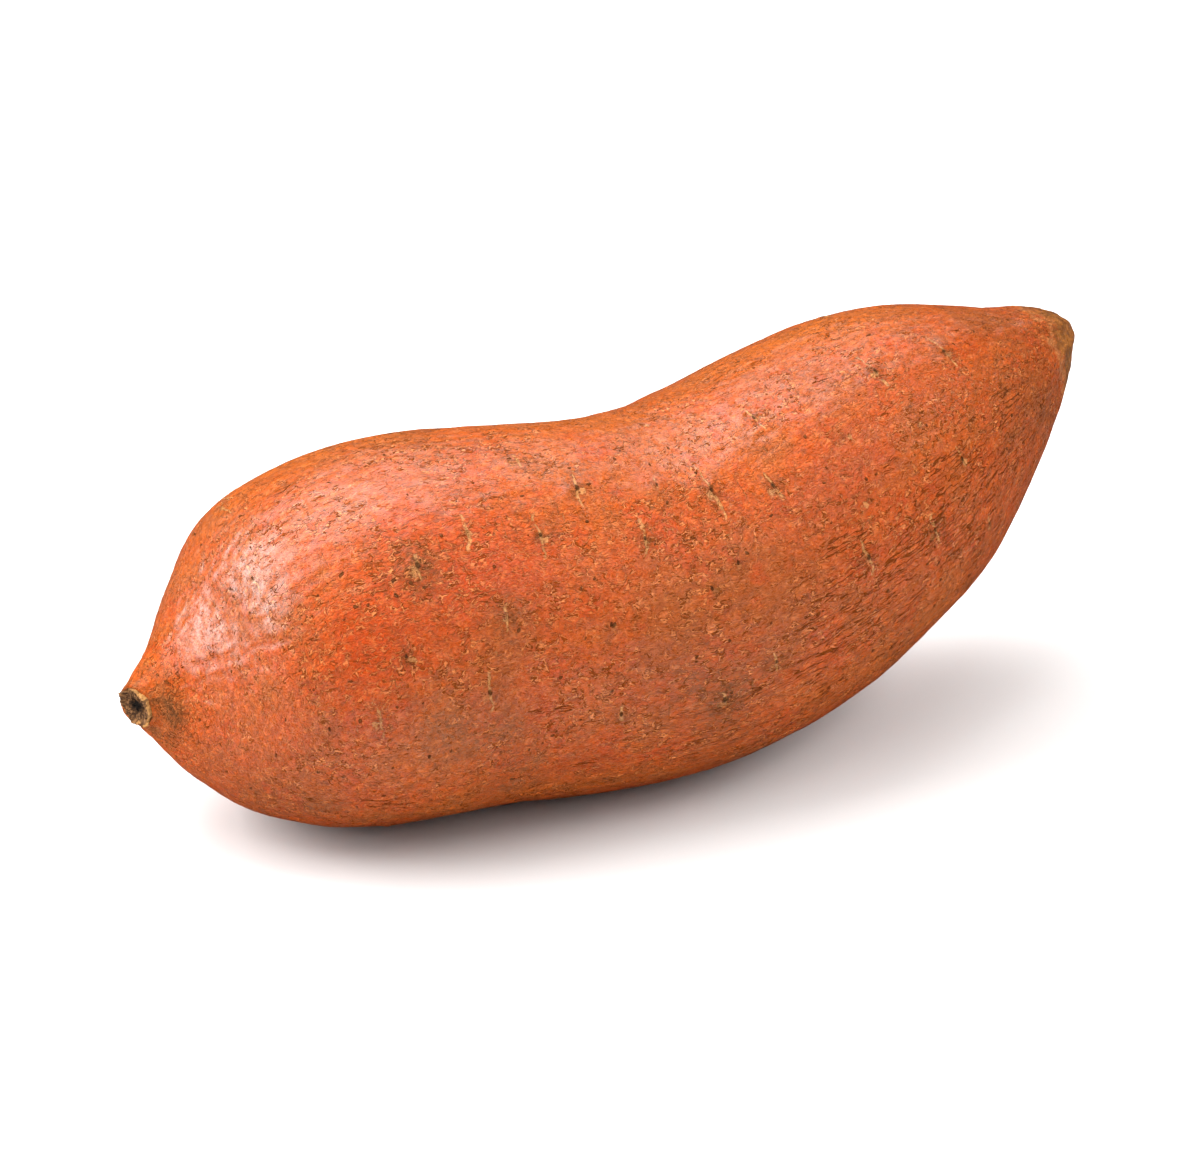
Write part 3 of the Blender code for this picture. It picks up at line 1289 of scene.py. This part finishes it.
        size, thread, _ = np.moveaxis(eyes["scar"], -1, 0)
        hole, cork, _ = np.moveaxis(eyes["kind"], -1, 0)
        height -= self.dent * size * hole * bell(np.hypot(along, around * 0.8), 1.3)
        height += self.nub * size * cork * bell(np.hypot(along, around + 0.6 * size), 0.8)
        out = np.abs(around) / thread
        ridge = self.thread_mm * bell(along, 0.7) - self.furrow_mm * bell(np.abs(along) - 1.5, 0.8)
        height += ridge * smooth_step(0.5, 0.3, out)
        return height - self.fold_mm * bell(along, 2.8) * smooth_step(0.9, 0.3, out)

    def tones(self) -> Array:
        """How far the skin turns to each tone: for each patch a round hump is added.

        Returns:
            Strengths from 0 to 1, rows by columns by one for each tone.
        """
        total = np.zeros((self.rings, self.columns, len(Tone)))
        for patch in PATCHES:
            along = (self.walked - self.walked_to(patch.along_mm))[:, None] / patch.long_mm
            apart = turn_apart(self.turn, math.radians(patch.turn_deg))
            far = np.hypot(along, apart * self.span.radius[:, None] / patch.wide_mm)
            total[..., patch.tone.value] += patch.strength * bell(far, 0.8)
        return np.clip(total, 0.0, 1.0)

    def build(self) -> bpy.types.Object:
        """Builds the skin and dresses it.

        Each point of the smooth form moves along its outward direction, across both edges
        there, by the relief, which fades where the root is thin. None goes below the surface.

        Returns:
            The finished piece.
        """
        base = self.form.surface(self.span, self.turn)
        round_edge = np.roll(base, -1, axis=1) - np.roll(base, 1, axis=1)
        outward = np.cross(round_edge, np.gradient(base, axis=0))
        outward /= np.linalg.norm(outward, axis=-1, keepdims=True)
        eyes, tones = self.nearest_eyes(), self.tones()
        full_at = np.where(self.span.share < 0.5, 4.5, 9.0)
        height = self.relief(eyes) * smooth_step(0.0, full_at, self.span.radius)[:, None]
        shift = self.form.shift()
        points = (base + height[..., None] * outward + shift) * MM
        points[..., 2] = np.maximum(points[..., 2], 0.0)
        start = points[0].mean(axis=0) + self.span.tangent[0] * 3.5 * MM
        tip = (self.form.length_mm / 2.0, self.form.side_mm[-1], self.form.height_mm[-1])
        end = (np.array(tip) + shift) * MM
        length = 2.0 * self.walked[-1] - self.walked[-2]
        marks = {
            "grain": self.at,
            "to_stem": self.at[..., 0],
            "to_tail": length - self.walked[:, None] + self.cap_shift_mm * np.sin(self.turn),
            "tones": tones[..., :3],
            "cracked": tones[..., Tone.CRACKED.value],
            "eye_place": eyes["place"],
            "eye_scar": eyes["scar"],
            "eye_kind": eyes["kind"],
        }
        piece = ShellMesh("root_skin", points, start, end, marks).build("OFBake")
        place(piece, SkinFinish().material())
        return piece


@dataclass
class StemCut:
    """The scar where the stem was cut: a ragged disc set in the root's blunt end.

    Attributes:
        form: The root's form, which gives the cut's place and slant.
        radius_mm: Radius of the disc.
        sink_mm: How far its back lies inside the root.
        bowl_mm: Depth of the bowl in its face.
        rim_mm: Height of its rim.
        rough_mm: Height of the torn fibres on it.
        ragged: How far its edge wanders, as a share of its radius.
        face_ends: Where the face ends, on a walk from 0 at its middle to 1 at the back's.
        relief_ends: Where its relief ends.
        back_starts: Where the back starts.
        scale: One radius in the finish's coordinates.
        rows: Rings from the middle of its face to the middle of its back.
        columns: Points round each ring.
    """

    form: RootForm
    radius_mm: float = 3.15
    sink_mm: float = 2.0
    bowl_mm: float = 0.35
    rim_mm: float = 0.30
    rough_mm: float = 0.42
    ragged: float = 0.12
    face_ends: float = 0.75
    relief_ends: float = 0.79
    back_starts: float = 0.8
    scale: float = 4.0
    rows: int = 64
    columns: int = 180

    def build(self) -> bpy.types.Object:
        """Builds the disc and dresses it.

        Its profile runs out over the face to a raised ragged rim, back into the root and in to
        the middle of the back. A point is centre + r*(cos*side + sin*up) + h*outward.

        Returns:
            The finished piece.
        """
        first = self.form.rings(np.array([0.0]))
        slant = self.form.cut_slant
        along, across, up = first.tangent[0], first.across[0], first.upward[0]
        outward = across * math.sin(slant) - along * math.cos(slant)
        side = across + along * math.tan(slant)
        walk = np.linspace(0.0, 1.0, self.rows + 2)[1:-1, None]
        turn = np.linspace(0.0, 2.0 * math.pi, self.columns, endpoint=False)[None]
        face = np.clip(walk / self.face_ends, 0.0, 1.0)
        back = np.clip((walk - self.back_starts) / (1.0 - self.back_starts), 0.0, 1.0)
        out = face * (1.0 - 0.92 * smooth_step(0.25, 1.0, back))
        spot = np.stack([out * np.cos(turn), out * np.sin(turn), out * np.ones_like(turn)], axis=-1)
        places = spot * (self.scale, self.scale, 0.0)
        ragged = hills(places, 2.2, 81, 3)
        reach = self.radius_mm * out * (1.0 + self.ragged * ragged * face**2)
        height = self.rough_mm * hills(places, 1.2, 91, 3)
        height += self.rim_mm * bell(face - 0.92, 0.11) * (1.0 + 1.4 * ragged)
        height -= self.bowl_mm * smooth_step(0.85, 0.3, face)
        height = height * (walk < self.relief_ends) - self.sink_mm * smooth_step(0.0, 0.5, back)
        points = first.centre[0] + self.form.shift() + (reach * np.cos(turn))[..., None] * side
        points = points + (reach * np.sin(turn))[..., None] * up
        points = (points + height[..., None] * outward) * MM
        # The poles stand where the first and last rings close, and the columns run backwards,
        # so that the faces point outwards.
        start, end = points[0].mean(axis=0), points[-1].mean(axis=0)
        marks = {"cut_place": (spot * (self.scale, self.scale, 1.0))[:, ::-1]}
        piece = ShellMesh("stem_cut", points[:, ::-1], start, end, marks).build()
        place(piece, CorkFinish().material())
        return piece


# ---------------------------------------------------------------- studio


@dataclass(frozen=True)
class Softbox:
    """A square lamp: its direction as the camera sees it, how far, how big and how strong.

    A lamp with mirrored False lights the root, but leaves no sheen on it.
    """

    name: str
    right: float
    away: float
    up: float
    far: float
    size: float
    watts: float
    mirrored: bool = True


@dataclass(frozen=True)
class Studio:
    """Plain pale floor, soft light and camera.

    Attributes:
        turn_deg: How far round the camera stands from the -Y side, towards +X.
        rise_deg: How far above the horizon it stands.
        distance: How far from its aim it stands.
        aim: The point that it looks at.
        lens_mm: Its focal length.
        sensor_mm: Width of its sensor.
        clip: Nearest and farthest distance that it sees.
        floor_half: Half the floor's width.
        floor_low: How far the floor lies under the root.
        floor_seen: The floor as the camera sees it.
        floor_back: The floor as it lights the root from below.
        floor_mirrored: The floor as the root's sheen shows it.
        air_strength: How strongly the air shines.
        lamp_aim: The point that the lamps face.
        lamps: The lamps.
    """

    turn_deg: float = -29.04
    rise_deg: float = 28.0
    distance: float = 0.797
    aim: tuple[float, float, float] = (-0.0036, 0.0051, 0.0273)
    lens_mm: float = 150.0
    sensor_mm: float = 36.0
    clip: tuple[float, float] = (0.01, 20.0)
    floor_half: float = 4.0
    floor_low: float = 0.1 * MM
    floor_seen: Colour = (0.63, 0.62, 0.615)
    floor_back: Colour = (0.95, 0.95, 0.95)
    floor_mirrored: Colour = (0.02, 0.02, 0.02)
    air_strength: float = 0.03
    lamp_aim: tuple[float, float, float] = (0.0, 0.0, 0.03)
    lamps: tuple[Softbox, ...] = (
        Softbox("left softbox", -0.86, -0.08, 0.50, 1.0, 0.75, 21.0),
        Softbox("high softbox", -0.28, 0.19, 0.94, 0.9, 0.8, 8.5),
        Softbox("back softbox", 0.08, 0.62, 0.78, 0.9, 0.8, 3.0),
        Softbox("back left softbox", -0.40, 0.50, 0.77, 0.9, 0.7, 2.1, mirrored=False),
        Softbox("right softbox", 0.78, 0.10, 0.62, 1.0, 0.6, 6.8, mirrored=False),
        Softbox("front right softbox", 0.60, -0.50, 0.62, 1.0, 0.7, 5.2, mirrored=False),
        Softbox("front softbox", -0.15, -0.40, 0.91, 1.0, 0.6, 4.8, mirrored=False),
    )

    def camera(self) -> None:
        """Makes the camera and aims it."""
        a, e = math.radians(self.turn_deg), math.radians(self.rise_deg)
        back = np.array([math.sin(a) * math.cos(e), -math.cos(a) * math.cos(e), math.sin(e)])
        data = bpy.data.cameras.new("camera")
        data.lens, data.sensor_width, data.sensor_fit = self.lens_mm, self.sensor_mm, "HORIZONTAL"
        data.clip_start, data.clip_end = self.clip
        thing = linked("camera", data)
        thing.location = self.aim + back * self.distance
        thing.rotation_euler = (math.pi / 2.0 - e, 0.0, a)
        bpy.context.scene.camera = thing

    def lamp(self, box: Softbox) -> None:
        """Makes a square soft light that faces the root.

        Args:
            box: What the light is like, and where it stands.
        """
        a = math.radians(self.turn_deg)
        right, away = (math.cos(a), math.sin(a), 0.0), (-math.sin(a), math.cos(a), 0.0)
        toward = np.array([box.right, box.away, box.up]) @ np.array([right, away, (0.0, 0.0, 1.0)])
        toward /= np.linalg.norm(toward)
        data = bpy.data.lights.new(box.name, "AREA")
        data.shape, data.size, data.energy = "SQUARE", box.size, box.watts
        thing = linked(box.name, data)
        thing.location = self.lamp_aim + toward * box.far
        thing.rotation_mode = "QUATERNION"
        thing.rotation_quaternion = Vector(-toward).to_track_quat("-Z", "Y")
        thing.visible_glossy = box.mirrored

    def floor(self) -> None:
        """Makes the white floor, just under the root, which mirrors less than it shows."""
        data = bpy.data.meshes.new("floor")
        half = self.floor_half
        corners = ((-half, -half), (half, -half), (half, half), (-half, half))
        data.from_pydata([(*corner, -self.floor_low) for corner in corners], [], [(0, 1, 2, 3)])
        material, bench, shader = new_material("white floor")
        ray = bench.add("ShaderNodeLightPath").outputs
        seen = bench.paint(
            self.floor_back,
            (ray["Is Glossy Ray"], self.floor_mirrored),
            (ray["Is Camera Ray"], self.floor_seen),
        )
        bench.feed(shader, {"Base Color": seen, "Roughness": 1.0, "Specular IOR Level": 0.0})
        data.materials.append(material)
        linked("floor", data)

    def air(self) -> None:
        """Leaves the room round the floor white, and almost without light of its own."""
        world = bpy.data.worlds.new("studio")
        world.use_nodes = True
        shade = world.node_tree.nodes["Background"]
        shade.inputs["Color"].default_value = (1.0, 1.0, 1.0, 1.0)
        shade.inputs["Strength"].default_value = self.air_strength
        bpy.context.scene.world = world

    def build(self) -> None:
        """Sets up the floor, the lights, the camera and how colours are shown."""
        self.floor()
        self.air()
        for box in self.lamps:
            self.lamp(box)
        self.camera()
        bpy.context.scene.view_settings.view_transform = "Standard"


def main() -> None:
    """Builds the pieces in order, then the studio round them."""
    logging.basicConfig(level=logging.INFO, format="%(name)s: %(message)s")
    form = RootForm()
    skin = RootSkin(form, EyeField()).build()
    log.info("skin: %d faces", len(skin.data.polygons))
    cut = StemCut(form).build()
    log.info("stem cut: %d faces", len(cut.data.polygons))
    Studio().build()
    log.info("studio: floor, lights and camera")


if __name__ == "__main__":
    main()
